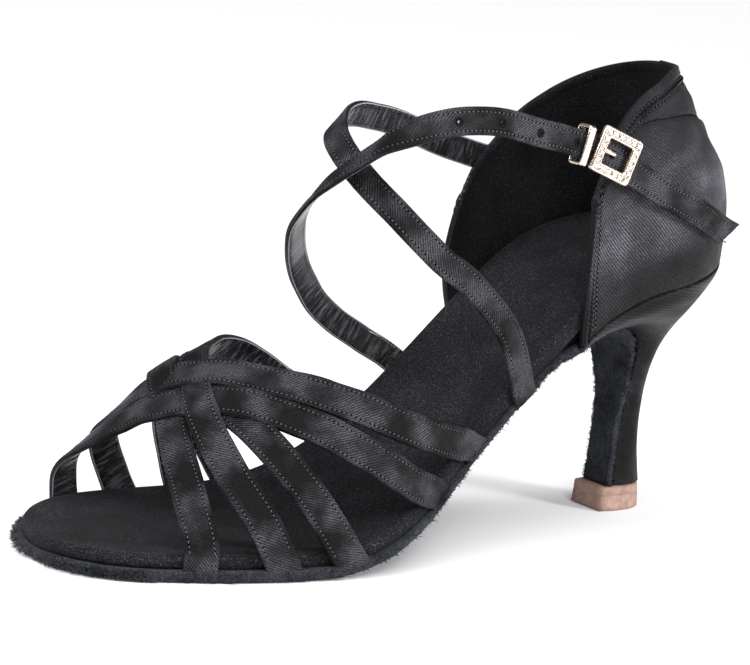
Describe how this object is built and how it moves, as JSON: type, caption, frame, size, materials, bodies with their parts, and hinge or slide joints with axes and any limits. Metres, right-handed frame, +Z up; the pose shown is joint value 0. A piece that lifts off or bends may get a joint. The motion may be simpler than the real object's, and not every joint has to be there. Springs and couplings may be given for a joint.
{
  "type": "ballroom dance shoe",
  "caption": "Left high-heeled dance sandal: slim flared heel, woven strap vamp, closed counter, cross straps over the instep and a small buckle.",
  "frame": {"origin": "centre of the heel tip's flat underside, on the floor", "axes": "+X along the shoe towards the toe, +Y to the outer side of the left foot, +Z up from the floor"},
  "size_m": [0.2218, 0.0831, 0.1266],
  "materials": {
    "sole_suede": "rough suede",
    "insole_microfibre": "matte microfibre",
    "heel_satin": "satin",
    "tip_rubber": "matte",
    "counter_satin": "satin",
    "strap_satin": "satin",
    "tab_satin": "satin",
    "pale_gold": "polished"
  },
  "bodies": {
    "root": {"outsole": "sole_suede", "insole": "insole_microfibre", "heel": "heel_satin", "heel_tip": "tip_rubber", "counter": "counter_satin", "vamp_straps": "strap_satin", "cross_strap_to_counter": "strap_satin", "cross_strap_to_buckle": "strap_satin", "buckle_frame": "pale_gold", "buckle_loop": "pale_gold", "buckle_prong": "pale_gold", "buckle_tab": "tab_satin"}
  },
  "joints": []
}
